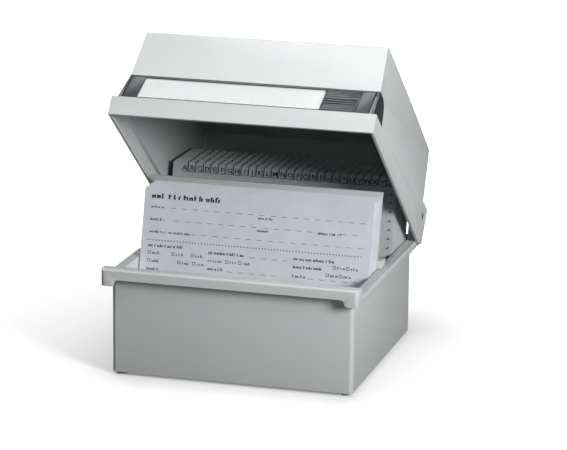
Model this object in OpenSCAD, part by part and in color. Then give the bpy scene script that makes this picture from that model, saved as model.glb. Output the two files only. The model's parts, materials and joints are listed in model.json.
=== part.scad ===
// Desk card-index box for landscape A5 cards: a moulded tray, a hood lid on two hinge pins,
// a label strip across the lid, a sliding support plate, form cards and an A to Z index.
// Millimetres. +X is the user's right, +Y goes back, +Z is up. The origin lies on the
// desk, below the middle of the box as it stands with its lid open.

/* [Cards] */
// Width of a card
card_w = 210; // [170:1:255]
// Height of a card
card_h = 148; // [124:1:178]
// How far a guide's tabs stand above a card
guide_rise = 4.5; // [2:0.5:8]
// Space left on each side of a card
card_gap = 1; // [0.5:0.1:3]
// Lean of the index guides from upright, degrees
guide_lean = 13.3; // [8:0.1:16]
// Lean of the form cards from upright, degrees
form_lean = 14; // [8:0.1:18]

/* [Tray] */
// Depth of the tray over its walls
tray_d = 205.5; // [190:0.5:250]
// Height of the side rims above the desk
rim_z = 90; // [76:0.5:108]
// Wall and floor thickness of the tray
wall = 2.5; // [2:0.1:3]
// How far the rims stand out from the walls
rim_out = 6.5; // [5:0.1:9]
// Depth of the skirt below the rims
rim_skirt = 7; // [5:0.1:9]
// Thickness of that skirt
skirt_t = 2; // [1.5:0.1:2.4]
// How far the front rim stands out from the front wall
front_out = 11; // [8:0.5:14]
// How far the back rim stands out from the back wall
back_out = 12.5; // [10:0.5:14]
// Height of the front rim above the side rims
front_step = 7.7; // [5:0.1:9]
// Height of the front rim's face
front_face = 8.8; // [7:0.1:10]
// Width of the ears at the ends of the front rim
ear_w = 12; // [8:0.5:16]
// Radius of the tray's upright corners
corner_r = 4; // [3:0.5:6]
// Height of the two runners under the tray
runner_h = 3; // [2:0.1:5]
// Width of a runner
runner_w = 9; // [6:0.5:14]
// Height of the ribs that the cards stand on
rib_h = 2.2; // [1:0.1:3]
// Spacing of those ribs
rib_pitch = 10; // [8:0.5:16]

/* [Lid] */
// Wall thickness of the lid
lid_wall = 2.4; // [2:0.1:2.8]
// Free space between the lid's skirt and the rims
lid_gap = 0.5; // [0.4:0.1:1]
// Free space between the lid's ledge and the front rim it closes on
seat_gap = 0.3; // [0.2:0.1:1]
// Height of the lid's skirt
lid_skirt = 17.5; // [15:0.5:19]
// How far the lid steps in above its skirt
lid_step = 3.6; // [3:0.1:4.5]
// How far each side leans in between skirt and top
lid_taper = 5.05; // [2:0.05:8]
// Free height above the guides
head_room = 28.1; // [15:0.1:40]
// Free space between the back rim and the lid's back wall
back_room = 5.6; // [5:0.1:18]
// Rise of the label band
band_rise = 31; // [28:0.5:34]
// Set-back of the label band
band_run = 16.4; // [12:0.1:20]
// Set-back of the front panel above the band
panel_run = 8.2; // [4:0.1:14]
// Rise of the top from the front panel to the back
crown = 7; // [1:0.5:12]
// Radius of the lid's long edges
lid_r = 4; // [2.5:0.5:6]
// Angle that the lid stands open, degrees
open_angle = 38.5; // [0:0.5:100]

/* [Hinge] */
// Hinge axis behind the tray's back wall
pivot_back = 5.2; // [4:0.1:6]
// Hinge axis above the side rims
pivot_up = 19.5; // [17:0.1:21]
// Radius of a hinge pin
pin_r = 2.2; // [1.8:0.1:2.8]
// Radius of its head
head_r = 3; // [3:0.1:4]
// Radial clearance of the pin in the tray's lug
pin_fit = 0.05; // [0.02:0.01:0.1]
// Thickness of a hinge lug
lug_t = 6.4; // [5:0.1:6.6]
// Radius of the lug's round end
lug_r = 7.5; // [6:0.1:8.5]
// Radius of the lid's round cheek about the pin
cheek_r = 25.5; // [22:0.5:26]
// How far in front of the pin the skirt starts to rise to the cheek
cheek_run = 60; // [52:0.5:64]
// Height of the cheek's straight top edge above the pin
cheek_rise = 13; // [12:0.1:14]
// How far the lid's back wall hangs below the cheeks' top, between the lugs
apron_drop = 12; // [0:0.5:13]
// Thickness of a friction washer
washer_t = 1.5; // [1:0.1:1.6]

/* [Label strip] */
// Depth of the recess that holds the strip
band_depth = 3; // [2.8:0.1:3.6]
// Length of the label that shows
label_w = 163; // [100:1:170]
// Length of the plain block at each end
block_w = 11; // [8:0.5:14]
// Width of the open slot beside the right end cap
slot_w = 2.5; // [2:0.1:4]
// Width of an end cap seen from the front
cap_w = 2.6; // [2:0.1:4]
// How far back an end cap reaches on the side of the lid
cap_back = 40; // [34:0.5:48]
// Thickness of the end caps on the side
cap_t = 2; // [1.5:0.1:2.5]

/* [Contents] */
// Number of index guides
guides = 25; // [10:1:25]
// Spacing of the guides along the tray
guide_pitch = 2.3; // [2.2:0.05:2.4]
// Thickness of a guide
guide_t = 0.7; // [0.4:0.05:0.8]
// Height of the tabs along a guide's top
tab_h = 9; // [7:0.5:20]
// Width of the row of tabs
tab_row = 201; // [140:1:203]
// Shift of that row to the right
tab_shift = 2.8; // [0:0.1:3]
// Number of tabs in the row
tabs = 28; // [20:1:30]
// Width of the notch between two tabs
notch_w = 1.2; // [0.6:0.1:2]
// Thickness of the record cards behind each guide
record_t = 0.9; // [0.4:0.05:1]
// How far the record cards stay below the foot of the tabs
record_drop = 6.5; // [2:0.5:12]
// Place of the form cards behind the front wall, at the floor
form_y = 45; // [42:0.5:48]
// Thickness of the stack of form cards, measured along the tray
form_t = 24; // [6:0.5:26]
// Thickness of the front form card
sheet_t = 0.35; // [0.2:0.05:0.6]
// Thickness of the support plate, measured along the tray
plate_t = 2.6; // [2:0.1:4]
// How far the support plate stands above a card
plate_rise = 4; // [0:0.5:6]

/* [Hidden] */
$fn = 48;
GUIDE_NAMES = [for (i = [1:guides]) str("guide_", i < 10 ? "0" : "", i)];
RECORD_NAMES = ["records_a", "records_f", "records_k", "records_p", "records_u"];

// Gaps between loose pieces, and between pieces that are fixed to each other
loose = 0.3;
snug = 0.1;
eps = 0.01;

// Tray
tray_in_w = card_w + 2 * card_gap;
tray_w = tray_in_w + 2 * wall;
rim_w = tray_w + 2 * rim_out;
front_z = rim_z + front_step;
floor_z = runner_h + wall;
card_z = floor_z + rib_h + loose;
back_y = tray_d + back_out;
ear_drop = front_step + rim_skirt;

// Hinge, in the tray
pivot_y = tray_d + pivot_back;
pivot_z = rim_z + pivot_up;
lug_x = rim_w / 2 - skirt_t + 0.4;

// Lid, measured from the outer lower edge of its front lip
skirt_hw = rim_w / 2 + lid_gap + lid_wall;
lid_y = -front_out - lid_gap - lid_wall - snug;
lid_z = front_z + seat_gap + lid_wall - lid_skirt;
lid_d = back_y + back_room + lid_wall - lid_y;
guide_h = card_h + guide_rise;
lid_h = card_z + guide_h * cos(guide_lean) + head_room + lid_wall - lid_z;
side_hw = skirt_hw - lid_step;
axis_y = pivot_y - lid_y;
axis_z = pivot_z - lid_z;
cheek_top = axis_z + cheek_rise;
cheek_start = axis_y - cheek_run;
apron_hw = lug_x - lug_t - lid_gap;

// Where the cheek's edge turns level, the draft of the lid's back wall, and the wall round the cap's pocket
cheek_knee = 9;
back_draft = 1.4;
pocket_wall = 2;

// Label band: its lower and upper outer edges and its slope
band_low = [lid_step, lid_skirt + 0.5];
band_high = band_low + [band_run, band_rise];
band_len = norm([band_run, band_rise]);
band_tilt = atan(band_run / band_rise);
band_in = [cos(band_tilt), -sin(band_tilt)];
ridge = [band_high[0] + panel_run, lid_h - crown];
strip_low = 1.5;
strip_high = band_len - 0.4;
cap_x = side_hw - cap_w - 0.6;
cap_in_x = side_hw - lid_taper * (band_high[1] - lid_skirt) / (lid_h - lid_skirt) - cap_t;
strip_x0 = -min(cap_x, cap_in_x) + 0.2;
strip_x1 = cap_x - slot_w;
label_x0 = strip_x0 + block_w + 1.8;
label_x1 = label_x0 + label_w;
grip_x1 = strip_x1 - block_w;

// The lid's farthest reach when it stands open, and the middle of the whole box
open_y = pivot_y + (lid_d - lid_r - axis_y) * cos(open_angle)
    + (lid_h - lid_r - axis_z) * sin(open_angle) + lid_r;
lip_y = pivot_y - axis_y * cos(open_angle) - axis_z * sin(open_angle);
mid_y = (max(open_y, lid_y + lid_d) + min(-front_out, lip_y)) / 2;

// Index guides: the last one leans on the inner edge of the back wall
guide_back = tray_d - wall - 0.5 - (rim_z - card_z) * tan(guide_lean);
guide_y = guide_back - guides * guide_pitch;
cell_w = tab_row / tabs;

// Support plate
plate_y = form_y + form_t + 0.4;
ear_low = rim_z + loose;
ear_high = rim_z + 7;
plate_front = plate_y + (ear_high - card_z) * tan(form_lean);
plate_top = card_z + (card_h + plate_rise) * cos(form_lean);
plate_ear_w = 7.5;
plate_ear_d = 13.5;
plate_rib_x = 60;

// ---- shapes used more than once ----

// An outline in Y and Z, carried across the box along X
module across(width) {
    rotate([90, 0, 90])
        linear_extrude(width, center = true)
            children();
}

// The same, from x0 to x1
module span(x0, x1) {
    translate([(x0 + x1) / 2, 0, 0])
        across(x1 - x0)
            children();
}

module rounded(w, d, r) {
    union() {
        translate([r, 0])
            square([w - 2 * r, d]);
        translate([0, r])
            square([w, d - 2 * r]);
        for (x = [r, w - r], y = [r, d - r])
            translate([x, y])
                circle(r);
    }
}

function unit(v) = v / norm(v);

// Points of an arc of radius r that rounds the corner at p, between its neighbours a and b
function arc_at(a, p, b, r, n = 5) =
    let (
        u = unit(a - p),
        v = unit(b - p),
        half = acos(u * v) / 2,
        c = p + unit(u + v) * r / sin(half),
        s = p + u * r / tan(half) - c,
        e = p + v * r / tan(half) - c,
        a0 = atan2(s[1], s[0]),
        turn = atan2(s[0] * e[1] - s[1] * e[0], s * e)
    )
    [for (i = [0:n]) c + r * [cos(a0 + turn * i / n), sin(a0 + turn * i / n)]];

// Where the lines p-q and r-s, each moved to its right by d, cross
function cross_at(p, q, r, s, d) =
    let (
        u = unit(q - p),
        v = unit(s - r),
        a = p + d * [u[1], -u[0]],
        b = r + d * [v[1], -v[0]],
        t = ((b[0] - a[0]) * v[1] - (b[1] - a[1]) * v[0]) / (u[0] * v[1] - u[1] * v[0])
    )
    a + t * u;

// A closed clockwise outline with every side moved inwards by d
function inset(pts, d) =
    let (n = len(pts))
    [for (i = [0:n - 1]) cross_at(pts[(i + n - 1) % n], pts[i], pts[i], pts[(i + 1) % n], d)];

module frame() {
    translate([0, -mid_y, 0])
        children();
}

// Moves a piece drawn on the closed lid to the open lid
module on_lid() {
    frame()
        translate([0, pivot_y, pivot_z])
            rotate([-open_angle, 0, 0])
                translate([0, -axis_y, -axis_z])
                    children();
}

// Moves a piece drawn against the label band: +Z runs up the band, +Y into the lid
module on_band() {
    on_lid()
        translate([0, band_low[0], band_low[1]])
            rotate([-band_tilt, 0, 0])
                children();
}

module plastic() {
    color([0.86, 0.87, 0.87])
        children();
}

module dark_plastic() {
    color([0.26, 0.28, 0.30])
        children();
}

module steel() {
    color([0.62, 0.64, 0.66])
        children();
}

// ---- tray ----

module tray_walls() {
    difference() {
        translate([-tray_w / 2, 0, runner_h])
            linear_extrude(rim_z - runner_h)
                rounded(tray_w, tray_d, corner_r);
        translate([-tray_in_w / 2, wall, floor_z])
            linear_extrude(rim_z)
                rounded(tray_in_w, tray_d - 2 * wall, corner_r - wall + 1);
    }
}

module rim_plan(inward) {
    translate([-rim_w / 2 + inward, -20])
        rounded(rim_w - 2 * inward, back_y + 20 - inward, corner_r + 1);
}

module rims() {
    difference() {
        translate([0, 0, rim_z - rim_skirt])
            linear_extrude(rim_skirt)
                rim_plan(0);
        translate([0, 0, rim_z - rim_skirt - 1])
            linear_extrude(rim_skirt + 1 - wall)
                rim_plan(skirt_t);
        translate([-tray_in_w / 2, wall, 0])
            linear_extrude(rim_z + 1)
                rounded(tray_in_w, tray_d - 2 * wall, corner_r - wall + 1);
        translate([-rim_w, -40, 0])
            cube([2 * rim_w, 40 + eps, rim_z + 1]);
    }
}

// Outline of the front rim's face: a bar with an ear hanging at each end
module front_outline() {
    bar = front_z - front_face;
    low = front_z - ear_drop;
    in_x = rim_w / 2 - ear_w;
    union() {
        translate([-rim_w / 2, bar])
            square([rim_w, front_face]);
        for (s = [-1, 1])
            scale([s, 1]) {
                translate([in_x, low + 2])
                    square([ear_w, ear_drop - 3]);
                translate([in_x + 2, low])
                    square([ear_w - 2, 4]);
                translate([in_x + 2, low + 2])
                    circle(2);
                difference() {
                    translate([in_x - 4, bar - 4])
                        square([4 + eps, 4 + eps]);
                    translate([in_x - 4, bar - 4])
                        circle(4);
                }
            }
    }
}

module front_rim() {
    low = front_z - ear_drop;
    intersection() {
        union() {
            translate([0, -front_out + wall, 0])
                rotate([90, 0, 0])
                    linear_extrude(wall)
                        front_outline();
            translate([-rim_w / 2, -front_out, front_z - wall])
                cube([rim_w, front_out + wall, wall]);
            translate([-tray_w / 2, 0, rim_z - wall])
                cube([tray_w, wall, front_z - rim_z + wall - eps]);
            for (s = [-1, 1])
                translate([s * (rim_w - wall) / 2 - wall / 2, -front_out, low])
                    cube([wall, front_out + wall, ear_drop]);
            for (s = [-1, 1])
                translate([s * (rim_w + tray_in_w) / 4 - (rim_out + wall) / 2, 0, rim_z - wall])
                    cube([rim_out + wall, wall, front_z - rim_z + wall]);
        }
        translate([-rim_w / 2, -front_out, 0])
            linear_extrude(front_z)
                rounded(rim_w, front_out + wall + 10, corner_r);
        translate([0, 0, rim_z - 40])
            across(rim_w)
                polygon(concat(
                    [[-front_out, 0]],
                    arc_at([-front_out, 0], [-front_out, 40 + front_step], [wall, 40 + front_step], 2),
                    arc_at([-front_out, 40 + front_step], [wall, 40 + front_step], [wall, 0], 2),
                    [[wall, 0]]
                ));
    }
}

module lug_outline() {
    union() {
        translate([pivot_y, pivot_z])
            circle(lug_r);
        polygon([
            [pivot_y - lug_r, pivot_z],
            [pivot_y + lug_r, pivot_z],
            [back_y - 0.4, rim_z - 1],
            [pivot_y - lug_r - 5, rim_z - 1]
        ]);
    }
}

module tray_lug(side) {
    difference() {
        span(side * lug_x - (side > 0 ? lug_t : 0), side * lug_x + (side > 0 ? 0 : lug_t))
            lug_outline();
        translate([side * lug_x, pivot_y, pivot_z])
            rotate([0, 90, 0])
                cylinder(h = 3 * lug_t, r = pin_r + pin_fit, center = true);
    }
}

module tray_shell() {
    plastic()
        frame() {
            union() {
                tray_walls();
                rims();
                front_rim();
                for (side = [-1, 1]) {
                    tray_lug(side);
                    translate([side * (tray_w / 2 - 2.5 - runner_w / 2) - runner_w / 2, 4, 0])
                        linear_extrude(runner_h + 1)
                            rounded(runner_w, tray_d - 8, 3);
                }
                for (y = [rib_pitch:rib_pitch:tray_d - wall - 4])
                    translate([-tray_in_w / 2 + 6, y - 0.6, floor_z - 1])
                        cube([tray_in_w - 12, 1.2, rib_h + 1]);
            }
        }
}

// ---- cards ----

// A stack of cards that leans back: level at the foot and at the top
module stack(y, lean, deep, high, hw) {
    top = card_z + high * cos(lean);
    back = high * sin(lean);
    frame()
        across(2 * hw)
            polygon([
                [y, card_z],
                [y + deep, card_z],
                [y + deep + back, top],
                [y + back, top]
            ]);
}

module form_pack() {
    color([0.90, 0.90, 0.93])
        stack(form_y + sheet_t + loose, form_lean, form_t - sheet_t - loose, card_h - 0.5, card_w / 2);
}

module form_card_front() {
    color([0.95, 0.95, 0.98])
        stack(form_y, form_lean, sheet_t, card_h, card_w / 2);
}

// One guide, drawn flat: a sheet with a row of tabs, one to a letter
module guide_outline() {
    difference() {
        translate([-card_w / 2, 0])
            square([card_w, guide_h]);
        for (i = [1:tabs - 1])
            translate([tab_shift - tab_row / 2 + i * cell_w - notch_w / 2, guide_h - tab_h])
                square([notch_w, tab_h + 1]);
    }
}

module guide(i) {
    color([0.66, 0.68, 0.70])
        frame()
            translate([0, guide_y + i * guide_pitch, card_z])
                rotate([90 - guide_lean, 0, 0])
                    translate([0, 0, -guide_t])
                        linear_extrude(guide_t)
                            guide_outline();
}

// The record cards behind five guides, one thin stack behind each
module records(group) {
    per = ceil(guides / len(RECORD_NAMES));
    color([0.93, 0.93, 0.95])
        for (i = [group * per:min(guides, (group + 1) * per) - 1])
            stack(
                guide_y + i * guide_pitch + (guide_t + loose) / cos(guide_lean),
                guide_lean,
                record_t / cos(guide_lean),
                guide_h - tab_h - record_drop,
                card_w / 2 - 0.5
            );
}

// ---- support plate ----

// Leans with the form cards and rides on both side rims by its ears
module support_plate() {
    reach = card_z + 0.5;
    plastic()
        frame() {
            span(-tray_in_w / 2 + loose, tray_in_w / 2 - loose)
                polygon([
                    [plate_y + (reach - card_z) * tan(form_lean), reach],
                    [plate_y + (reach - card_z) * tan(form_lean) + plate_t, reach],
                    [plate_y + plate_t + (plate_top - card_z) * tan(form_lean), plate_top],
                    [plate_y + (plate_top - card_z) * tan(form_lean), plate_top]
                ]);
            for (side = [-1, 1])
                translate([side * (tray_in_w / 2 - 0.25) - plate_ear_w / 2, plate_front + 0.4, ear_low])
                    cube([plate_ear_w, plate_ear_d, ear_high - ear_low]);
            for (x = [-plate_rib_x, 0, plate_rib_x])
                span(x - 1, x + 1)
                    polygon([
                        [plate_y + plate_t - 1, reach + 1],
                        [plate_y + plate_t + 4 + 3 * tan(form_lean), reach + 1],
                        [plate_front + plate_t + 1, ear_high - 3],
                        [plate_front + plate_t - 1.5, ear_high - 3]
                    ]);
        }
}

// ---- lid ----

// A block whose sides lean in with the lid's, moved in by inward
module tapered(inward) {
    lean = lid_taper / (lid_h - lid_skirt);
    bottom = side_hw + lean * (lid_skirt + 20) - inward;
    top = side_hw - lid_taper - inward;
    r = max(lid_r - inward, 1);
    translate([0, lid_d + 20, 0])
        rotate([90, 0, 0])
            linear_extrude(lid_d + 40)
                polygon(concat(
                    [[-bottom, -20]],
                    arc_at([-bottom, -20], [-top, lid_h - inward], [top, lid_h - inward], r),
                    arc_at([-top, lid_h - inward], [top, lid_h - inward], [bottom, -20], r),
                    [[bottom, -20]]
                ));
}

// Side view of the hood, clockwise from its lower front corner
function hood(bottom) =
    let (
        foot = band_low + band_depth * band_in,
        foot_y = foot[0] + (lid_skirt - foot[1]) * band_run / band_rise
    )
    [
        [foot_y, bottom],
        [foot_y, lid_skirt],
        band_high + band_depth * band_in,
        band_high,
        ridge,
        [lid_d, lid_h],
        [lid_d - back_draft, bottom]
    ];

// The same with its two upper corners rounded
function round_hood(pts, r) = concat(
    [pts[0], pts[1], pts[2], pts[3]],
    arc_at(pts[3], pts[4], pts[5], r),
    arc_at(pts[4], pts[5], pts[6], r),
    [pts[6]]
);

// Side view of the skirt with the round cheek about the hinge pin
module skirt_outline() {
    union() {
        polygon([
            [0, 0],
            [0, lid_skirt],
            [cheek_start, lid_skirt],
            [axis_y - cheek_knee, cheek_top - 1],
            [lid_d - back_draft, cheek_top],
            [axis_y, axis_z],
            [axis_y, axis_z - cheek_r]
        ]);
        intersection() {
            translate([axis_y, axis_z])
                circle(cheek_r);
            translate([axis_y - 2, axis_z - cheek_r - 1])
                square([lid_d - back_draft - axis_y + 2, cheek_top - axis_z + cheek_r + 1]);
        }
    }
}

module skirt_hollow() {
    polygon([
        [lid_wall, -1],
        [lid_wall, lid_skirt - lid_wall],
        [cheek_start, lid_skirt - lid_wall],
        [axis_y - cheek_knee, cheek_top - 1 - lid_wall],
        [lid_d + 10, cheek_top - lid_wall + 1],
        [lid_d + 10, -1]
    ]);
}

// Room kept for the back wall between the lugs
module back_apron() {
    translate([-apron_hw, lid_d - back_draft - lid_wall - 2, cheek_top - apron_drop])
        cube([2 * apron_hw, lid_wall + 14, apron_drop]);
}

// Side view of an end cap, grown by g
module cap_outline(g) {
    low = band_low[1] + 3.2 - g;
    high = band_high[1] - 0.4 + g;
    back = cap_back + g;
    slope = band_run / band_rise;
    front_low = [band_low[0] + (low - band_low[1]) * slope, low];
    front_high = [band_low[0] + (high - band_low[1]) * slope, high];
    polygon(concat(
        [front_low, front_high],
        arc_at(front_high, [back, high], [back, low], 9 + g),
        [[back, low + 3], [back - 3, low]]
    ));
}

module lid_shell() {
    plastic()
        on_lid()
            difference() {
                union() {
                    intersection() {
                        across(2 * skirt_hw)
                            polygon(round_hood(hood(lid_skirt - lid_wall), lid_r));
                        tapered(0);
                    }
                    across(2 * skirt_hw)
                        skirt_outline();
                }
                difference() {
                    across(2 * (skirt_hw - lid_wall))
                        skirt_hollow();
                    back_apron();
                }
                difference() {
                    intersection() {
                        across(2 * skirt_hw)
                            polygon(round_hood(inset(hood(-20), lid_wall), lid_r - 1.5));
                        tapered(lid_wall);
                    }
                    difference() {
                        translate([-skirt_hw, 0, band_low[1] + 1])
                            cube([2 * skirt_hw, cap_back + 3, band_rise + 2]);
                        tapered(cap_t + snug + pocket_wall);
                    }
                }
                difference() {
                    across(2 * skirt_hw + 2)
                        cap_outline(snug);
                    tapered(cap_t + snug);
                }
                translate([0, axis_y, axis_z])
                    rotate([0, 90, 0]) {
                        cylinder(h = 3 * skirt_hw, r = pin_r + 0.02, center = true);
                        for (side = [-1, 1])
                            translate([0, 0, side * skirt_hw])
                                cylinder(h = 2.4, r = head_r + 0.05, center = true);
                    }
            }
}

// ---- hinge ----

module hinge_pin(side) {
    steel()
        on_lid()
            translate([0, axis_y, axis_z])
                rotate([0, side * 90, 0])
                    rotate_extrude()
                        polygon([
                            [0, lug_x - lug_t - 1.2],
                            [pin_r - 0.3, lug_x - lug_t - 1.2],
                            [pin_r, lug_x - lug_t - 0.9],
                            [pin_r, skirt_hw - 1.2],
                            [head_r, skirt_hw - 1.2],
                            [head_r, skirt_hw - 0.3],
                            [head_r - 0.3, skirt_hw],
                            [0, skirt_hw]
                        ]);
}

module ring_on_pin(side, x, thick, r_in, r_out) {
    on_lid()
        translate([side * x, axis_y, axis_z])
            rotate([0, side * 90, 0])
                rotate_extrude()
                    translate([r_in, 0])
                        square([r_out - r_in, thick]);
}

module friction_washer(side) {
    color([0.80, 0.80, 0.76])
        ring_on_pin(side, lug_x + loose, washer_t, pin_r + 0.05, lug_r - 0.5);
}

module retaining_clip(side) {
    steel()
        ring_on_pin(side, lug_x - lug_t - 0.85, 0.6, pin_r + 0.02, pin_r + 2);
}

// ---- label strip ----

// Layers of the strip, measured inwards from the face of the band
lip_face = 0.1;
lip_back = 0.8;
window_face = 0.9;
window_back = 1.3;
slip_face = 1.5;
slip_back = 1.8;
base_face = 2;
base_back = band_depth - snug;
lip_w = 1.9;
rail_w = 1.1;

module strip_box(x0, x1, y0, y1, z0, z1) {
    translate([x0, y0, z0])
        cube([x1 - x0, y1 - y0, z1 - z0]);
}

module label_holder() {
    dark_plastic()
        on_band() {
            union() {
                strip_box(strip_x0, strip_x1, base_face, base_back, strip_low, strip_high);
                for (z = [strip_low, strip_high - rail_w])
                    strip_box(strip_x0, strip_x1, lip_face, base_back, z, z + rail_w);
                strip_box(strip_x0, strip_x1, lip_face, lip_back, strip_low, strip_low + lip_w);
                strip_box(strip_x0, strip_x1, lip_face, lip_back, strip_high - lip_w, strip_high);
                strip_box(strip_x0, label_x0 - loose, 0.3, base_back, strip_low, strip_high);
                strip_box(grip_x1, strip_x1, 0.3, slip_face - 0.25, strip_low, strip_high);
            }
        }
}

module label_slip() {
    color([0.97, 0.98, 0.98])
        on_band()
            strip_box(label_x0, strip_x1 - 0.5, slip_face, slip_back, strip_low + 1.5, strip_high - 1.5);
}

module label_window() {
    color([0.9, 0.95, 0.97, 0.3])
        on_band()
            strip_box(
                label_x0 - 0.1, label_x1 - snug, window_face, window_back,
                strip_low + rail_w + snug, strip_high - rail_w - snug
            );
}

// A ribbed pad for the thumb that lifts the lid
module thumb_grip() {
    low = strip_low + lip_w + snug;
    high = strip_high - lip_w - snug;
    ribs = 9;
    pitch = (high - low) / ribs;
    dark_plastic()
        on_band()
            union() {
                strip_box(
                    label_x1, grip_x1 - snug, window_face, window_back,
                    strip_low + rail_w + snug, strip_high - rail_w - snug
                );
                strip_box(label_x1, grip_x1 - snug, 0.5, window_face + eps, low, high);
                for (i = [0:ribs - 1])
                    strip_box(
                        label_x1 + 1.5, grip_x1 - 1.6, lip_face, 0.5 + eps,
                        low + (i + 0.25) * pitch, low + (i + 0.75) * pitch
                    );
            }
}

module end_cap(side) {
    dark_plastic()
        on_lid()
            mirror([side < 0 ? 1 : 0, 0, 0])
                difference() {
                    intersection() {
                        union() {
                            translate([0, band_low[0], band_low[1]])
                                rotate([-band_tilt, 0, 0])
                                    strip_box(cap_x, skirt_hw, lip_face, base_back, strip_low, strip_high);
                            difference() {
                                span(0, skirt_hw)
                                    cap_outline(0);
                                tapered(cap_t);
                            }
                        }
                        tapered(0.05);
                        translate([0, 0, lid_skirt])
                            cube([skirt_hw, cap_back + 1, band_rise + 10]);
                    }
                    if (side > 0)
                        translate([0, band_low[0], band_low[1]])
                            rotate([-band_tilt, 0, 0])
                                strip_box(
                                    cap_x - 1, skirt_hw + 1, slip_face - 0.2, slip_back + 0.2,
                                    strip_low + 1.2, strip_high - 1.2
                                );
                }
}

tray_shell();
support_plate();
form_pack();
form_card_front();
lid_shell();
hinge_pin(-1);  // hinge_pin_left
hinge_pin(1);  // hinge_pin_right
friction_washer(-1);  // friction_washer_left
friction_washer(1);  // friction_washer_right
retaining_clip(-1);  // retaining_clip_left
retaining_clip(1);  // retaining_clip_right
label_holder();
label_slip();
label_window();
thumb_grip();
end_cap(-1);  // end_cap_left
end_cap(1);  // end_cap_right
for (i = [0:guides - 1])
    guide(i);
for (i = [0:len(RECORD_NAMES) - 1])
    records(i);
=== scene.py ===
# %% [markdown]
# # A desk card-index box
# The box is a moulded tray for landscape A5 cards under a hood lid on two hinge pins. A dark label strip
# crosses the lid, form cards stand in front, and a set of index guides with letter tabs stands behind.
# The solid model gives every piece its place. Here each piece gets its finished edges and its material.

# %% Load the frame
import json
import math

import bmesh
import bpy
import numpy as np
from mathutils import Matrix, Vector

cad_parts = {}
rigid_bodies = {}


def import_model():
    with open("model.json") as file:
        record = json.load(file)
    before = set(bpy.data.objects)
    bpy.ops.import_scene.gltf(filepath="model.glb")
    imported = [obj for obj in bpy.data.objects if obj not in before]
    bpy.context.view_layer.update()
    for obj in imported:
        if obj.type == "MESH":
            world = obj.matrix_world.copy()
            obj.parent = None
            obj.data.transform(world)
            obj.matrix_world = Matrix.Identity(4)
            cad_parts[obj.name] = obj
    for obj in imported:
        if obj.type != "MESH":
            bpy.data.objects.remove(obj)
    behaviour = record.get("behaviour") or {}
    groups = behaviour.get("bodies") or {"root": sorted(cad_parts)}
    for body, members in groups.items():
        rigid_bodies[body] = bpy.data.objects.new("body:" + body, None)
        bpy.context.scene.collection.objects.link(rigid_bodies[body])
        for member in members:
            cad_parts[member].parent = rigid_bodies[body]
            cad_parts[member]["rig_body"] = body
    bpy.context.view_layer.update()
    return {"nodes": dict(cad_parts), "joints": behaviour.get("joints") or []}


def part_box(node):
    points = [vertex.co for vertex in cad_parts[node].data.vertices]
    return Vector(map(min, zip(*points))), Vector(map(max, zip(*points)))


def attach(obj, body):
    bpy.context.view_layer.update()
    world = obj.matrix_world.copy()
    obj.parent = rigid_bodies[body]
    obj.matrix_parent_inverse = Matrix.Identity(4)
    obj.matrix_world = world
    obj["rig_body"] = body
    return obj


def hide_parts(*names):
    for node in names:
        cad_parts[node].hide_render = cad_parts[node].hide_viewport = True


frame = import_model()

MM = 0.001

# %% [markdown]
# ## Where things are
# The hinge joint says where the lid turns and how far it stands open. A point of the closed lid is turned
# about that axis to reach the open lid, and back again, so the lid's own shape can be read square on.

# %% Hinge and lid frame
joints = {j["name"]: j for j in frame["joints"]}
hinge_y, hinge_z = joints["lid_hinge"]["pos_m"][1:]
open_turn = math.radians(-joints["lid_hinge"]["range_deg"][0])


def lid_turn(points, angle):
    """Points turned about the hinge axis by angle, positive as the lid opens: y and z rotate, x stays."""
    p = np.array(points, float)
    y, z = p[..., 1] - hinge_y, p[..., 2] - hinge_z
    out = p.copy()
    out[..., 1] = hinge_y + y * math.cos(angle) + z * math.sin(angle)
    out[..., 2] = hinge_z - y * math.sin(angle) + z * math.cos(angle)
    return out


def mesh_points(mesh):
    """All vertex places of a mesh as one array."""
    flat = np.empty(len(mesh.vertices) * 3)
    mesh.vertices.foreach_get("co", flat)
    return flat.reshape(-1, 3)


closed_lid = lid_turn(mesh_points(frame["nodes"]["lid_shell"].data), -open_turn)
lid_low, lid_high = closed_lid.min(0), closed_lid.max(0)
print("closed lid, mm:", np.round((lid_high - lid_low) / MM, 1), "open by", round(math.degrees(open_turn), 1))

# %% [markdown]
# ## Small helpers
# Colours are written as the hex values a paint chart would give, and one function turns them to the linear
# values that a shader wants. One more adds a shader node with its settings and links.

# %% Colour and node helpers
def colour(hex_code):
    """sRGB hex to linear RGBA: a channel c becomes ((c + 0.055) / 1.055) ** 2.4, or c / 12.92 when dark."""
    c = np.array([int(hex_code[i:i + 2], 16) for i in (1, 3, 5)]) / 255
    linear = np.where(c <= 0.04045, c / 12.92, ((c + 0.055) / 1.055) ** 2.4)
    return (*[float(v) for v in linear], 1.0)


def add(tree, kind, settings=None, links=None):
    """Adds one shader node. Settings are its attributes; links are its sockets, each a value or an output."""
    made = tree.nodes.new("ShaderNode" + kind)
    for key, value in (settings or {}).items():
        setattr(made, key, value)
    for key, value in (links or {}).items():
        if isinstance(value, bpy.types.NodeSocket):
            tree.links.new(value, made.inputs[key])
        else:
            made.inputs[key].default_value = value
    return made


def new_material(name):
    """An empty material with its tree, its Principled shader and the Object coordinates in metres."""
    made = bpy.data.materials.new(name)
    made.use_nodes = True
    tree = made.node_tree
    tree.nodes.clear()
    shader = add(tree, "BsdfPrincipled")
    out = add(tree, "OutputMaterial", links={"Surface": shader.outputs["BSDF"]})
    out.is_active_output = True
    place = add(tree, "TexCoord").outputs["Object"]
    return made, tree, shader, place


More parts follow.
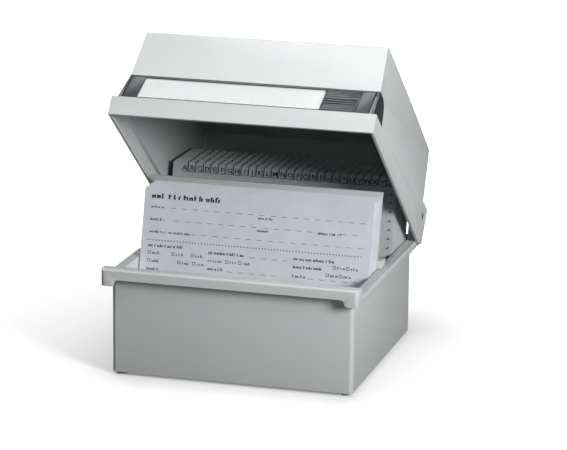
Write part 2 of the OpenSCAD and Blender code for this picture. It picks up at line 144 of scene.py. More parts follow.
def ramp(tree, fac, stops):
    """A colour ramp with the given (place, colour) stops."""
    made = add(tree, "ValToRGB", links={"Fac": fac})
    points = made.color_ramp.elements
    points[0].position, points[0].color = stops[0]
    points[1].position, points[1].color = stops[-1]
    for where, shade in stops[1:-1]:
        points.new(where).color = shade
    return made.outputs["Color"]


def noise(tree, place, size, detail=3.0, rough=0.5):
    """Noise whose lumps are about size metres across."""
    links = {"Vector": place, "Scale": 1 / size, "Detail": detail, "Roughness": rough}
    return add(tree, "TexNoise", links=links).outputs["Fac"]


def bump(tree, height, depth, strength=1.0, under=None):
    """A bump of the given depth in metres; under is another bump that it lies on."""
    links = {"Height": height, "Distance": depth, "Strength": strength}
    if under is not None:
        links["Normal"] = under
    return add(tree, "Bump", links=links).outputs["Normal"]


# %% [markdown]
# ## Moulded polystyrene
# Tray, lid and support plate are one light grey, high-impact polystyrene. The tool is spark-eroded, which
# leaves a fine even grain that breaks up reflections. The colour is very even, with a slow drift where
# the melt cooled at another rate, and handling leaves faint smoother patches.

# %% Light grey polystyrene
def moulded_polystyrene():
    """Fine grain 0.35 mm across, slow colour drift 60 mm across, rubbed patches 25 mm across."""
    made, tree, shader, place = new_material("moulded_light_grey_polystyrene")
    drift = noise(tree, place, 60 * MM, detail=2)
    tint = ramp(tree, drift, [(0.3, colour("#D0D4D4")), (0.7, colour("#D5D8D8"))])
    grain = noise(tree, place, 0.35 * MM, detail=2)
    speck = ramp(tree, grain, [(0.35, colour("#E9EAEA")), (0.65, colour("#FFFFFF"))])
    mixed = add(tree, "Mix", {"data_type": "RGBA", "blend_type": "MULTIPLY"}, {0: 0.55, 6: tint, 7: speck})
    rubbed = noise(tree, place, 25 * MM, detail=4, rough=0.6)
    gloss = add(tree, "MapRange", links={0: rubbed, 1: 0.35, 2: 0.75, 3: 0.50, 4: 0.38})
    tree.links.new(mixed.outputs[2], shader.inputs["Base Color"])
    tree.links.new(gloss.outputs[0], shader.inputs["Roughness"])
    waves = bump(tree, noise(tree, place, 30 * MM, detail=1), 0.12 * MM, 0.5)
    tree.links.new(bump(tree, grain, 0.03 * MM, 0.6, waves), shader.inputs["Normal"])
    shader.inputs["IOR"].default_value = 1.55
    return made


polystyrene = moulded_polystyrene()


# %% [markdown]
# ## Dark strip plastic
# The label strip, its thumb grip and its end caps are dyed-through dark grey ABS with a satin tool finish.

# %% Dark grey ABS
def satin_abs():
    """Grain 0.5 mm across, cloudy dye 12 mm across and fine scratches that lie along the strip."""
    made, tree, shader, place = new_material("satin_dark_grey_abs")
    cloud = noise(tree, place, 12 * MM, detail=3)
    tint = ramp(tree, cloud, [(0.3, colour("#2E3236")), (0.7, colour("#393E42"))])
    stretched = add(tree, "Mapping", links={"Vector": place, "Scale": (0.04, 1, 1)}).outputs[0]
    scratch = noise(tree, stretched, 0.5 * MM, detail=2)
    gloss = add(tree, "MapRange", links={0: scratch, 1: 0.4, 2: 0.7, 3: 0.42, 4: 0.3})
    tree.links.new(tint, shader.inputs["Base Color"])
    tree.links.new(gloss.outputs[0], shader.inputs["Roughness"])
    grain = noise(tree, place, 0.5 * MM, detail=2)
    tree.links.new(bump(tree, grain, 0.03 * MM, 0.7), shader.inputs["Normal"])
    shader.inputs["IOR"].default_value = 1.54
    return made


dark_abs = satin_abs()


# %% [markdown]
# ## Paper and card
# All cards are matt. What tells them apart is their shade and their fibres: the form cards are a cool
# white, the record cards a softer white, and the guides a grey pressed board with visible flecks. A cut
# stack shows each sheet as a fine line, so the shade also changes a little from sheet to sheet.

# %% Paper materials
def paper(name, light, dark, fleck, fleck_share, fibre=0.8):
    """Fibres fibre mm across; flecks are the peaks of a finer noise; cloudiness is 18 mm across."""
    made, tree, shader, place = new_material(name)
    cloud = noise(tree, place, 18 * MM, detail=3)
    ground = ramp(tree, cloud, [(0.3, colour(dark)), (0.7, colour(light))])
    fine = noise(tree, place, fibre * MM, detail=4, rough=0.7)
    peaks = add(tree, "MapRange", links={0: fine, 1: 1 - fleck_share, 2: 1.02 - fleck_share}).outputs[0]
    flecked = add(tree, "Mix", {"data_type": "RGBA"}, {0: peaks, 6: ground, 7: colour(fleck)})
    tree.links.new(flecked.outputs[2], shader.inputs["Base Color"])
    tree.links.new(bump(tree, fine, 0.05 * MM, 0.5), shader.inputs["Normal"])
    shader.inputs["Roughness"].default_value = 0.85
    shader.inputs["IOR"].default_value = 1.5
    return made


form_paper = paper("cool_white_form_card", "#DFE0E7", "#D6D7E0", "#C8C9D5", 0.30)
record_paper = paper("white_record_card", "#E6E7EA", "#DCDDE1", "#C9CBD0", 0.30)
label_paper = paper("label_paper", "#DADCDC", "#D5D7D7", "#CACDCD", 0.28)
press_board = paper("grey_pressed_board", "#C0C4C7", "#B4B9BC", "#979DA1", 0.36, fibre=1.2)


def printed_ink(name, shade):
    """Offset ink: nearly matt, with the paper's fibres showing through as a lighter mottle."""
    made, tree, shader, place = new_material(name)
    mottle = noise(tree, place, 0.4 * MM, detail=2)
    light = tuple(min(1.0, v + 0.05) for v in colour(shade)[:3]) + (1.0,)
    tree.links.new(ramp(tree, mottle, [(0.4, colour(shade)), (0.8, light)]), shader.inputs["Base Color"])
    shader.inputs["Roughness"].default_value = 0.7
    return made


black_ink = printed_ink("black_print", "#12141A")
grey_ink = printed_ink("grey_print", "#5F6572")

# %% [markdown]
# ## Clear cover, steel and nylon
# The label lies under a clear cover. Light has to reach the paper through it, so it is mostly see-through
# by alpha and keeps only a glossy skin. The pins are turned steel and the washers are natural nylon.

# %% Clear, steel and nylon materials
def clear_cover():
    """Extruded PVC: see-through, a smooth skin with slow waves 20 mm across from the die."""
    made, tree, shader, place = new_material("clear_pvc_cover")
    wave = noise(tree, place, 20 * MM, detail=1)
    tint = ramp(tree, wave, [(0.3, colour("#F4F8F9")), (0.7, colour("#FFFFFF"))])
    tree.links.new(tint, shader.inputs["Base Color"])
    tree.links.new(bump(tree, wave, 0.1 * MM, 0.5), shader.inputs["Normal"])
    shader.inputs["Alpha"].default_value = 0.12
    shader.inputs["Roughness"].default_value = 0.08
    shader.inputs["IOR"].default_value = 1.53
    return made


def turned_steel():
    """Lathe marks: rings 0.2 mm apart about the pin, from the distance to the hinge axis."""
    made, tree, shader, place = new_material("turned_steel")
    to_axis = {"Vector": place, "Location": (0, -hinge_y, -hinge_z)}
    centred = add(tree, "Mapping", {"vector_type": "POINT"}, to_axis)
    flat = add(tree, "VectorMath", {"operation": "MULTIPLY"}, {0: centred.outputs[0], 1: (0, 1, 1)})
    radius = add(tree, "VectorMath", {"operation": "LENGTH"}, {0: flat.outputs[0]}).outputs["Value"]
    phase = add(tree, "Math", {"operation": "MULTIPLY"}, {0: radius, 1: 2 * math.pi / (0.2 * MM)})
    rings = add(tree, "Math", {"operation": "SINE"}, {0: phase.outputs[0]})
    stain = noise(tree, place, 2 * MM)
    tint = ramp(tree, stain, [(0.3, colour("#777B7E")), (0.7, colour("#94989B"))])
    tree.links.new(tint, shader.inputs["Base Color"])
    tree.links.new(bump(tree, rings.outputs[0], 0.02 * MM, 0.5), shader.inputs["Normal"])
    shader.inputs["Metallic"].default_value = 1.0
    shader.inputs["Roughness"].default_value = 0.38
    return made


def natural_nylon():
    """Milky nylon with cloudy patches 3 mm across and a fine moulded grain."""
    made, tree, shader, place = new_material("natural_nylon")
    tint = ramp(tree, noise(tree, place, 3 * MM), [(0.3, colour("#D3D1C6")), (0.7, colour("#E0DED4"))])
    tree.links.new(tint, shader.inputs["Base Color"])
    tree.links.new(bump(tree, noise(tree, place, 0.3 * MM), 0.02 * MM, 0.5), shader.inputs["Normal"])
    shader.inputs["Roughness"].default_value = 0.5
    return made


cover_film = clear_cover()
steel = turned_steel()
nylon = natural_nylon()

# %% [markdown]
# ## Finished edges for the moulded pieces
# A moulded piece has no sharp edge anywhere. The solid's triangles are copied, merged and joined back into
# flat faces, and a bevel rounds the edges. How round each edge gets is its bevel weight, from 0 to 1, so
# the long outer edges of the lid can be rounder than the rest.

# %% Rounding a copy of a solid
def finish_piece(name, node, body, material):
    """Hands a finished mesh its material and its body, and hides the solids that it stands for, if any."""
    piece = bpy.data.objects[name]
    piece.data.materials.clear()
    piece.data.materials.append(material)
    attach(piece, body)
    if node:
        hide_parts(*([node] if isinstance(node, str) else node))
    return piece


def flat_faced_copy(node):
    """The solid's surface with its triangles merged and coplanar ones joined, as a bmesh."""
    shape = bmesh.new()
    shape.from_mesh(frame["nodes"][node].data)
    bmesh.ops.remove_doubles(shape, verts=shape.verts, dist=0.004 * MM)
    bmesh.ops.dissolve_limit(
        shape,
        angle_limit=math.radians(0.6),
        verts=shape.verts,
        edges=shape.edges,
        use_dissolve_boundaries=False,
    )
    return shape


def rounded_copy(node, name, radius, body, material, weigh=None, segments=2):
    """A copy whose edges over 25 degrees are bevelled by radius times the weight that weigh gives them."""
    shape = flat_faced_copy(node)
    weights = shape.edges.layers.float.new("bevel_weight_edge")
    for edge in shape.edges:
        if len(edge.link_faces) == 2 and edge.calc_face_angle() > math.radians(25):
            edge[weights] = weigh(edge) if weigh else 1.0
    for face in shape.faces:
        face.smooth = True
    mesh = bpy.data.meshes.new(name)
    shape.to_mesh(mesh)
    shape.free()
    piece = bpy.data.objects.new(name, mesh)
    bpy.context.scene.collection.objects.link(piece)
    bevel = piece.modifiers.new("round_edges", "BEVEL")
    bevel.limit_method = "WEIGHT"
    bevel.width = radius
    bevel.segments = segments
    bevel.use_clamp_overlap = True
    bevel.harden_normals = True
    bevel.miter_outer = "MITER_ARC"
    return finish_piece(name, node, body, material)


# %% Tray, support plate and strip
rounded_copy("tray_shell", "tray", 0.7 * MM, "tray", polystyrene)
rounded_copy("support_plate", "follower_plate", 0.5 * MM, "support", polystyrene)
for node, name in (
    ("label_holder", "strip_channel"),
    ("end_cap_left", "strip_cap_left"),
    ("end_cap_right", "strip_cap_right"),
    ("thumb_grip", "strip_thumb_grip"),
):
    rounded_copy(node, name, 0.2 * MM, "lid", dark_abs)

# %% [markdown]
# ## The lid
# The lid's long outer edges, between each side and the front, top and back, are clearly rounder than its
# rims. Seen in the closed lid's own frame they are the edges on the outer side faces above the label band.

# %% Lid shell
SOFT_EDGE = 3.2 * MM
FINE_EDGE = 0.45 * MM
BAND_TOP = 49.2 * MM


def lid_weight(edge):
    """1 on the outer long edges above the band, 0.4 on the matching inner edges, else a fine edge."""
    middle = lid_turn([(edge.verts[0].co + edge.verts[1].co) / 2], -open_turn)[0] - lid_low
    ends = [abs(face.normal.x) for face in edge.link_faces]
    across = max(ends) > 0.9 and min(ends) < 0.3
    if across and middle[2] > BAND_TOP:
        return 1.0 if edge.is_convex else 0.4
    return FINE_EDGE / SOFT_EDGE


rounded_copy(
    "lid_shell", "hood_lid", SOFT_EDGE, "lid", polystyrene, lid_weight, segments=4
)

# %% [markdown]
# ## Hinge, label and cover
# These solids already have their true shape, so they only get their material.

# %% Materials on the solids that stay
for names, material in (
    (("hinge_pin_left", "hinge_pin_right", "retaining_clip_left", "retaining_clip_right"), steel),
    (("friction_washer_left", "friction_washer_right"), nylon),
    (("label_slip",), label_paper),
    (("label_window",), cover_film),
):
    for name in names:
        frame["nodes"][name].data.materials.clear()
        frame["nodes"][name].data.materials.append(material)

# %% [markdown]
# ## Sheets of card
# A card is a thin sheet that leans back with its foot on the floor ribs. It is worked out as a grid: rows
# run from foot to top, columns across, and each row is as wide as the rounded corners leave it. A whole
# stack is one set of arrays, with a small shift and lift for each sheet, as hands leave it.

# %% Sheets on a grid
CARD_HIGH = 148 * MM
CARD_HALF = 105 * MM
GUIDE_HIGH = 152.5 * MM
GUIDE_THICK = 0.7 * MM


def lean_of(node, high, thick):
    """Lean of a flat sheet from its box: dy = high sin a + thick cos a and dz = high cos a + thick sin a."""
    low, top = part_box(node)
    dy, dz = top.y - low.y, top.z - low.z
    return math.atan2(high * dy - thick * dz, high * dz - thick * dy)


lift_axis = joints["front_card_lift"]["axis"]
form_lean = math.atan2(lift_axis[1], lift_axis[2])
guide_lean = lean_of("guide_01", GUIDE_HIGH, GUIDE_THICK)
print("leans:", round(math.degrees(form_lean), 2), round(math.degrees(guide_lean), 2))


def stand(x, up, out, foot_y, foot_z, lean):
    """Card place to box place: up runs along the card, out is in front of its face."""
    y = foot_y + up * math.sin(lean) - out * math.cos(lean)
    z = foot_z + up * math.cos(lean) + out * math.sin(lean)
    return np.stack(np.broadcast_arrays(x, y, z), axis=-1)


def grid_faces(rows, columns):
    """Quads of a rows by columns grid of points, numbered row by row."""
    first = (np.arange(rows - 1)[:, None] * columns + np.arange(columns - 1)).ravel()
    return np.stack([first, first + 1, first + columns + 1, first + columns], axis=1)


def shell_faces(rows, columns):
    """Faces of a closed sheet: the front grid, the back grid turned round, and a band about the edge."""
    front = grid_faces(rows, columns)
    n = rows * columns
    index = np.arange(n).reshape(rows, columns)
    ring = np.concatenate([index[0], index[1:, -1], index[-1, -2::-1], index[-2:0:-1, 0]])
    after = np.roll(ring, -1)
    rim = np.stack([ring, ring + n, after + n, after], axis=1)
    return np.concatenate([front, front[:, ::-1] + n, rim])


def mesh_object(name, points, faces, smooth=False):
    """A mesh object from an array of points and an array or list of faces."""
    mesh = bpy.data.meshes.new(name)
    mesh.from_pydata(np.asarray(points).reshape(-1, 3).tolist(), [], [list(map(int, f)) for f in faces])
    mesh.validate()
    mesh.polygons.foreach_set("use_smooth", [smooth] * len(mesh.polygons))
    piece = bpy.data.objects.new(name, mesh)
    bpy.context.scene.collection.objects.link(piece)
    return piece


def bow_of(x, up, depth, high):
    """Forward bow of a sheet: depth at mid-width near the top, nothing at the edges or at the foot."""
    return depth * (1 - (x / CARD_HALF) ** 2) * (up / high) ** 2


def sheets(
    name, foot_y, foot_z, lean, half, high, thick, shift=0.0, lift=0.0, bow=0.0, corner=2.5 * MM, columns=7
):
    """Sheets with their front feet at foot_y. A row's half-width is half - corner + sqrt(corner^2 -
    (corner - d)^2), where d is its distance to the nearer end, up to corner."""
    foot_y = np.atleast_1d(foot_y)
    count = len(foot_y)
    shift, lift, bow, high = (np.broadcast_to(v, count)[:, None, None] for v in (shift, lift, bow, high))
    turn = np.linspace(0, math.pi / 2, 5)
    near = corner * (1 - np.cos(turn))
    rows_low = near[None, :, None] * np.ones_like(high)
    middle = np.linspace(0, 1, 9)[1:-1][None, :, None] * (high - 2 * corner) + corner
    up = np.concatenate([rows_low, middle, (high - rows_low)[:, ::-1]], axis=1)
    gap = np.minimum(np.minimum(up, high - up), corner)
    wide = half - corner + np.sqrt(np.maximum(corner**2 - (corner - gap) ** 2, 0))
    x = np.linspace(-1, 1, columns)[None, None, :] * wide
    up = np.broadcast_to(up, x.shape)
    out = bow_of(x, up, bow, high)
    foot_y = foot_y[:, None, None]
    places = [stand(x + shift, up + lift, out - back, foot_y, foot_z, lean) for back in (0.0, thick)]
    points = np.stack(places, axis=1)
    rows = x.shape[1]
    one = shell_faces(rows, columns)
    faces = (one[None] + (np.arange(count) * 2 * rows * columns)[:, None, None]).reshape(-1, 4)
    return mesh_object(name, points, faces)


# %% Form cards
rng = np.random.default_rng(5)
pack_low, pack_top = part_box("form_pack")
front_low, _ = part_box("form_card_front")
FORM_THICK = 0.26 * MM
form_count = 80
pack_deep = (pack_top.y - pack_low.y) - (CARD_HIGH - 0.5 * MM) * math.sin(form_lean)
feet = pack_low.y + np.linspace(0, pack_deep - FORM_THICK / math.cos(form_lean), form_count)
sheets(
    "form_stack",
    feet,
    pack_low.z,
    form_lean,
    CARD_HALF - 0.3 * MM,
    CARD_HIGH - 1.0 * MM,
    FORM_THICK,
    shift=rng.normal(0, 0.22 * MM, form_count).clip(-0.45 * MM, 0.45 * MM),
    lift=rng.uniform(0, 0.5 * MM, form_count),
)
finish_piece("form_stack", "form_pack", "forms", form_paper)
sheets("front_form", front_low.y, front_low.z, form_lean, CARD_HALF, CARD_HIGH, 0.3 * MM, columns=13)
finish_piece("front_form", "form_card_front", "front_card", form_paper)
print("form cards:", form_count + 1)

# %% [markdown]
# ## Print on the front form
# The form is ruled in listed blocks: a bold heading, dashed writing lines with small captions, a dotted
# divider, and rows of tick boxes. Words are set as rows of little strokes, so the form reads as a form and
# says nothing. Each mark is a flat patch of ink that lies just off the card.

# %% Marks of ink
INK_LIFT = 0.04 * MM


def patches(name, marks, foot_y, foot_z, lean, material, body, slot):
    """Flat quads of ink (x0, up0, x1, up1) in metres: x from the card's middle, up from its foot."""
    box = np.array(marks, float)
    x = box[:, [0, 2, 2, 0]]
    up = box[:, [1, 1, 3, 3]]
    points = stand(x, up, INK_LIFT, foot_y, foot_z, lean)
    faces = np.arange(len(box) * 4).reshape(-1, 4)
    mesh_object(name, points, faces)
    return finish_piece(name, None, body, material)


def dashes(x0, x1, up, dash, gap, high):
    """A dashed line from x0 to x1 at height up."""
    start = np.arange(x0, x1 - dash / 2, dash + gap)
    return [(s, up, min(s + dash, x1), up + high) for s in start]


def words(x0, length, up, high, rng, weight=0.45):
    """Strokes that read as a line of small print: upright and level bars in word-sized groups."""
    marks, x = [], x0
    while x < x0 + length:
        for _ in range(rng.integers(3, 8)):
            tall = high * rng.choice([0.68, 0.72, 1.0])
            stem = high * 0.16 * (0.6 + weight)
            width = high * rng.uniform(0.42, 0.62)
            marks.append((x, up, x + stem, up + tall))
            level = up + tall * rng.choice([0.0, 0.45, 0.8])
            marks.append((x + stem, level, x + width, level + stem * 0.9))
            if rng.random() < 0.6:
                marks.append((x + width, up, x + width + stem, up + high * 0.68))
            x += width + stem + high * 0.2
            if x > x0 + length:
                break
        x += high * 0.45
    return marks


def tick_box(x, up, side, line):
    """The outline of a small square."""
    return [
        (x, up, x + side, up + line),
        (x, up + side - line, x + side, up + side),
        (x, up, x + line, up + side),
        (x + side - line, up, x + side, up + side),
    ]


print_rng = np.random.default_rng(11)
left, right = -CARD_HALF + 5 * MM, CARD_HALF - 6 * MM
bold = words(left + 2 * MM, 62 * MM, CARD_HIGH - 10.5 * MM, 4.4 * MM, print_rng, weight=1.6)
fine, rules, dots = [], [], []
for up, first in ((18.5, 20), (29.5, 24), (40.5, 40)):
    rules += dashes(left + first * MM, right, CARD_HIGH - up * MM, 5.0 * MM, 5.2 * MM, 0.45 * MM)
for x0, length, up in ((-98, 10, 19), (-98, 14, 30), (-98, 38, 41), (1, 14, 22), (1, 10, 33), (56, 22, 31)):
    fine += words(x0 * MM, length * MM, CARD_HIGH - up * MM, 2.2 * MM, print_rng, weight=1.2)
dots += dashes(left, right, CARD_HIGH - 48.0 * MM, 1.1 * MM, 1.7 * MM, 1.1 * MM)
for x0, length, up in ((-98, 32, 53.5), (-42, 32, 56), (36, 36, 55), (36, 24, 62)):
    bold += words(x0 * MM, length * MM, CARD_HIGH - up * MM, 2.6 * MM, print_rng, weight=1.3)
TICK_ROWS = ((60, (-98, -76, -58)), (67, (-98, -70, -56)), (63, (-26, -14)), (60, (72, 84)), (67, (66, 78)))
for up, starts in TICK_ROWS:
    for x0 in starts:
        fine += tick_box(x0 * MM, CARD_HIGH - up * MM, 2.8 * MM, 0.45 * MM)
        fine += words((x0 + 4.2) * MM, 6 * MM, CARD_HIGH - up * MM, 2.3 * MM, print_rng, weight=1.2)
for x0, length, up in ((-42, 12, 63), (-98, 12, 74), (-42, 14, 70), (36, 10, 70)):
    fine += words(x0 * MM, length * MM, CARD_HIGH - up * MM, 2.3 * MM, print_rng, weight=1.2)
for x0, x1, up in ((-4, 30, 56.5), (-82, -48, 74.5), (-24, 28, 70.5), (50, 99, 70.5)):
    rules += dashes(x0 * MM, x1 * MM, CARD_HIGH - up * MM, 5.0 * MM, 5.2 * MM, 0.45 * MM)
for up in (82, 93, 104, 115, 126):
    fine += words(-98 * MM, 16 * MM, CARD_HIGH - up * MM, 2.2 * MM, print_rng, weight=1.2)
    rules += dashes(-78 * MM, right, CARD_HIGH - up * MM, 5.0 * MM, 5.2 * MM, 0.45 * MM)
form_place = (front_low.y, front_low.z, form_lean)
patches("form_print_bold", bold, *form_place, black_ink, "front_card", "form_card")
patches("form_print_fine", fine, *form_place, black_ink, "front_card", "form_card")
patches("form_print_rules", rules, *form_place, grey_ink, "front_card", "form_card")
patches("form_print_dots", dots, *form_place, grey_ink, "front_card", "form_card")
print("ink marks:", len(bold) + len(fine) + len(rules) + len(dots))

# %% [markdown]
# ## Index guides
# A guide is punched from pressed board: a sheet with twenty-eight tabs along its top, one to a letter, cut
# apart by narrow notches. Its outline is worked out as one line of points with a small round at each
# tab's corners, and is given the board's thickness.

# %% Guide outline
GUIDES = sorted(n for n in frame["nodes"] if n.startswith("guide_"))
TABS = 28
TAB_ROW = 201 * MM
TAB_SHIFT = 2.8 * MM
TAB_HIGH = 9 * MM
NOTCH = 1.2 * MM
TAB_ROUND = 1.1 * MM
cell = TAB_ROW / TABS
row_start = TAB_SHIFT - TAB_ROW / 2


def guide_line():
    """Outline points, foot left to foot right and back over the tabs: each notch has two square lower
    corners, and each tab's upper corners are quarter circles of TAB_ROUND."""
    quarter = np.linspace(0, math.pi / 2, 4)
    into = np.stack([np.sin(quarter), np.cos(quarter)], axis=1) * TAB_ROUND
    line = [(-CARD_HALF, 0.0), (CARD_HALF, 0.0), (CARD_HALF, GUIDE_HIGH - TAB_ROUND)]
    line += [(CARD_HALF - TAB_ROUND + px, GUIDE_HIGH - TAB_ROUND + py) for px, py in into[::-1]][1:]
    for i in range(TABS - 1, 0, -1):
        x = row_start + i * cell
        right_edge, left_edge = x + NOTCH / 2, x - NOTCH / 2
        line += [(right_edge + TAB_ROUND - px, GUIDE_HIGH - TAB_ROUND + py) for px, py in into]
        line += [(right_edge, GUIDE_HIGH - TAB_HIGH), (left_edge, GUIDE_HIGH - TAB_HIGH)]
        line += [(left_edge - TAB_ROUND + px, GUIDE_HIGH - TAB_ROUND + py) for px, py in into[::-1]]
    line += [(-CARD_HALF + TAB_ROUND - px, GUIDE_HIGH - TAB_ROUND + py) for px, py in into]
    return np.array(line)


def plate(name, line, thick, foot_y, foot_z, lean):
    """A flat plate from a closed outline: a front face, a back face and a quad for each side."""
    n = len(line)
    front = stand(line[:, 0], line[:, 1], 0.0, foot_y, foot_z, lean)
    back = stand(line[:, 0], line[:, 1], -thick, foot_y, foot_z, lean)
    index = np.arange(n)
    after = np.roll(index, -1)
    sides = np.stack([after, index, index + n, after + n], axis=1)
    faces = [list(index), list(index[::-1] + n)] + sides.tolist()
    return mesh_object(name, np.concatenate([front, back]), faces)


outline = guide_line()
guide_rng = np.random.default_rng(3)
for node in GUIDES:
    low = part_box(node)[0]
    body = frame["nodes"][node]["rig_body"]
    drop = 0.0 if body == "front_guide" else guide_rng.uniform(0, 0.35 * MM)
    slip = 0.0 if body == "front_guide" else guide_rng.uniform(-0.6 * MM, 0.6 * MM)
    line = outline + np.array([slip, 0.0]) - np.array([0.0, drop]) * (outline[:, 1:] > GUIDE_HIGH / 2)
    name = node.replace("guide", "index_guide")
    foot_z = low.z + GUIDE_THICK * math.sin(guide_lean)
    plate(name, line, GUIDE_THICK, low.y, foot_z, guide_lean)
    finish_piece(name, node, body, press_board)
print("guides:", len(GUIDES), "points in the outline:", len(outline))

# %% [markdown]
# ## Letters on the tabs
# Each tab of the front guide carries its letter in the corner of two rules, as an index register is printed.
# Sch and St have tabs of their own, so there are twenty-eight. The letters are set with the built-in face,
# made a mesh and laid on the board.

# %% Letter tabs
LETTERS = list("ABCDEFGHIJKLMNOPQRS") + ["Sch", "St"] + list("TUVWXYZ")
LETTER_HIGH = 4.2 * MM
LETTER_FOOT = GUIDE_HIGH - 7.4 * MM
RULE = 0.55 * MM
guide_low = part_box("guide_01")[0]
guide_foot_z = guide_low.z + GUIDE_THICK * math.sin(guide_lean)


def letter_shape(text, size):
    """Points and faces of a line of text, centred across, with its foot at 0."""
    curve = bpy.data.curves.new("letter", "FONT")
    curve.body = text
    curve.size = size
    curve.offset = 0.025 * size
    curve.resolution_u = 3
    curve.align_x = "CENTER"
    holder = bpy.data.objects.new("letter", curve)
    mesh = bpy.data.meshes.new_from_object(holder)
    points = mesh_points(mesh)
    faces = [list(p.vertices) for p in mesh.polygons]
    bpy.data.objects.remove(holder)
    bpy.data.curves.remove(curve)
    bpy.data.meshes.remove(mesh)
    return points[:, :2], faces


flat_points, flat_faces = [], []
for i, text in enumerate(LETTERS):
    size = LETTER_HIGH / 0.7 * (1.0, 0.72, 0.55)[len(text) - 1]
    points, faces = letter_shape(text, size)
    middle = np.array([row_start + (i + 0.5) * cell, LETTER_FOOT])
    start = sum(len(p) for p in flat_points)
    flat_points.append(points + middle)
    flat_faces += [[v + start for v in f] for f in faces]
flat = np.concatenate(flat_points)
mesh_object(
    "tab_letters", stand(flat[:, 0], flat[:, 1], INK_LIFT, guide_low.y, guide_foot_z, guide_lean), flat_faces
)
finish_piece("tab_letters", None, "front_guide", black_ink)

rules = []
for i in range(TABS):
    x, foot = row_start + i * cell, GUIDE_HIGH - TAB_HIGH
    rules.append((x + 1.3 * MM, foot, x + cell - 1.0 * MM, foot + RULE))
    rules.append((x + cell - 1.0 * MM - RULE, foot, x + cell - 1.0 * MM, foot + 6.2 * MM))
for i in range(12):
    up = GUIDE_HIGH - (16 + 8 * i) * MM
    rules.append((CARD_HALF - 6 * MM, up, CARD_HALF - 3 * MM, up + RULE))
    rules.append((CARD_HALF - 4 * MM, up, CARD_HALF - 3 * MM, up + 2 * MM))
guide_place = (guide_low.y, guide_foot_z, guide_lean)
patches("tab_rules", rules, *guide_place, black_ink, "front_guide", "grey_card")
print("letters:", len(LETTERS))

# %% [markdown]
# ## Record cards between the guides
# A few white cards stand behind each guide, lower than the tabs. From the side they show as fine layers.

# %% Record cards
record_rng = np.random.default_rng(17)
RECORD_HIGH = GUIDE_HIGH - TAB_HIGH - 7.1 * MM
RECORD_THICK = 0.21 * MM
RECORD_STEP = 0.235 * MM
RECORDS_EACH = 4
FIRST_GAP = 0.3 * MM
for node in sorted(n for n in frame["nodes"] if n.startswith("records_")):
    low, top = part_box(node)
    own = [g for g in GUIDES if low.y - 1.5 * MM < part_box(g)[0].y < top.y][:5]
    feet = []
    for g in own:
        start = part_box(g)[0].y + (GUIDE_THICK + FIRST_GAP) / math.cos(guide_lean)
        feet += [start + k * RECORD_STEP for k in range(RECORDS_EACH)]
    count = len(feet)
    name = node.replace("records", "record_cards")
    sheets(
        name,
        np.array(feet),
        low.z,
        guide_lean,
        CARD_HALF - 1.0 * MM,
        RECORD_HIGH,
        RECORD_THICK,
        shift=record_rng.normal(0, 0.25 * MM, count).clip(-0.45 * MM, 0.45 * MM),
        lift=record_rng.uniform(0, 0.5 * MM, count),
        columns=3,
    )
    finish_piece(name, node, "tray", record_paper)

# %% [markdown]
# ## Floor, light and camera
# The box stands on a pale floor with a painted glow that whitens it away from the box. A wide soft light
# hangs overhead, a weak one stands high at the front left and a strong one low at the front right. The sky
# is very dim, so the hood stays dark inside.

# %% Floor
def floor_with_painted_glow():
    """Matt pale grey, cloudy at 150 mm. Painted glow: to the camera it emits white, 0.22 near the middle and
    rising to 1.0 from 0.15 m to 0.6 m out, so it fades to white. To bounced light it is dark grey, which
    keeps bounce low."""
    made, tree, shader, place = new_material("floor_with_painted_glow")
    cloud = noise(tree, place, 150 * MM)
    pale = ramp(tree, cloud, [(0.3, colour("#F2F2F2")), (0.7, colour("#F6F6F6"))])
    seen = tree.nodes.new("ShaderNodeLightPath").outputs["Is Camera Ray"]
    # To the camera the floor is pale; to bounced light it is dark grey #6E6E6E, which keeps bounce low.
    shade = add(tree, "Mix", {"data_type": "RGBA"}, {0: seen, 6: colour("#6E6E6E"), 7: pale})
    away = add(tree, "VectorMath", {"operation": "LENGTH"}, {0: place}).outputs["Value"]
    span = {0: away, 1: 0.15, 2: 0.6, 3: 0.22, 4: 1.0}
    # Painted glow: white emission seen only by the camera, 0.22 near the box and 1.0 beyond 0.6 m out.
    painted_glow_ramp = add(tree, "MapRange", {"interpolation_type": "SMOOTHSTEP"}, span)
    painted_glow = add(tree, "Math", {"operation": "MULTIPLY"}, {0: painted_glow_ramp.outputs[0], 1: seen})
    tree.links.new(shade.outputs[2], shader.inputs["Base Color"])
    tree.links.new(painted_glow.outputs[0], shader.inputs["Emission Strength"])
    shader.inputs["Emission Color"].default_value = colour("#FFFFFF")
    shader.inputs["Roughness"].default_value = 0.9
    return made


reach = 6.0
floor = mesh_object(
    "floor", [(-reach, -reach, 0), (reach, -reach, 0), (reach, reach, 0), (-reach, reach, 0)], [(0, 1, 2, 3)]
)
floor.data.materials.append(floor_with_painted_glow())


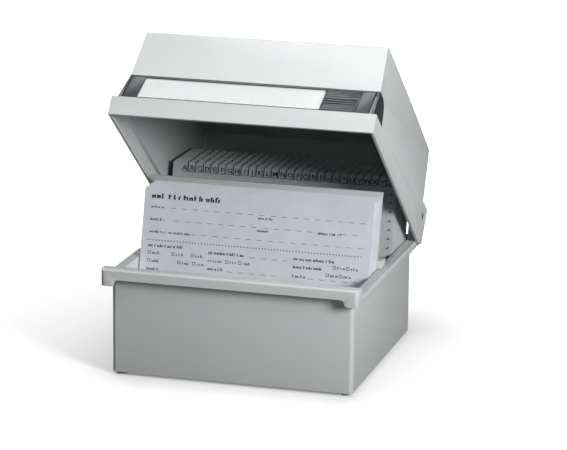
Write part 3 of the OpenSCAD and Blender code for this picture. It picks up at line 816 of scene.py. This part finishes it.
# %% Lights
def soft_light(name, place, target, size, power):
    """A square area light of the given side, in watts, turned to face its target."""
    data = bpy.data.lights.new(name, "AREA")
    data.shape = "SQUARE"
    data.size = size
    data.energy = power
    lamp = bpy.data.objects.new(name, data)
    bpy.context.scene.collection.objects.link(lamp)
    lamp.location = place
    lamp.rotation_euler = (Vector(target) - Vector(place)).to_track_quat("-Z", "Y").to_euler()
    return lamp


LIGHTS = (
    ("overhead_light", (-0.1, 0.25, 1.7), 1.1, 20),
    ("key_light", (-0.8, -1.1, 1.7), 0.8, 6),
    ("front_right_light", (1.3, -0.95, 0.65), 0.5, 25),
)
for light_name, light_place, light_size, power in LIGHTS:
    soft_light(light_name, light_place, (0, 0, 0.15), light_size, power)
sky = bpy.data.worlds.new("sky")
bpy.context.scene.world = sky
sky.use_nodes = True
background = sky.node_tree.nodes["Background"]
background.inputs["Color"].default_value = colour("#FFFFFF")
seen = sky.node_tree.nodes.new("ShaderNodeLightPath").outputs["Is Camera Ray"]
SKY_LIGHT = 0.04
strength = add(sky.node_tree, "MapRange", links={0: seen, 3: SKY_LIGHT, 4: 1.0})
sky.node_tree.links.new(strength.outputs[0], background.inputs["Strength"])
bpy.context.scene.view_settings.view_transform = "Standard"

# %% Camera
SENSOR = 36.0
azimuth, elevation, roll = math.radians(15.9), math.radians(14.46), math.radians(0.61)
back = Vector(
    (math.sin(azimuth) * math.cos(elevation), -math.cos(azimuth) * math.cos(elevation), math.sin(elevation))
)
side = Vector((math.cos(azimuth), math.sin(azimuth), 0))
upward = back.cross(side)
turned_side = side * math.cos(roll) + upward * math.sin(roll)
turned_up = upward * math.cos(roll) - side * math.sin(roll)
camera_data = bpy.data.cameras.new("camera")
camera_data.sensor_width = SENSOR
camera_data.lens = 177.84
camera_data.clip_end = 50
camera = bpy.data.objects.new("camera", camera_data)
bpy.context.scene.collection.objects.link(camera)
placed = Matrix((turned_side, turned_up, back)).transposed().to_4x4()
placed.translation = Vector((0.6751, hinge_y - 2.41966, hinge_z + 0.63014))
camera.matrix_world = placed
bpy.context.scene.camera = camera
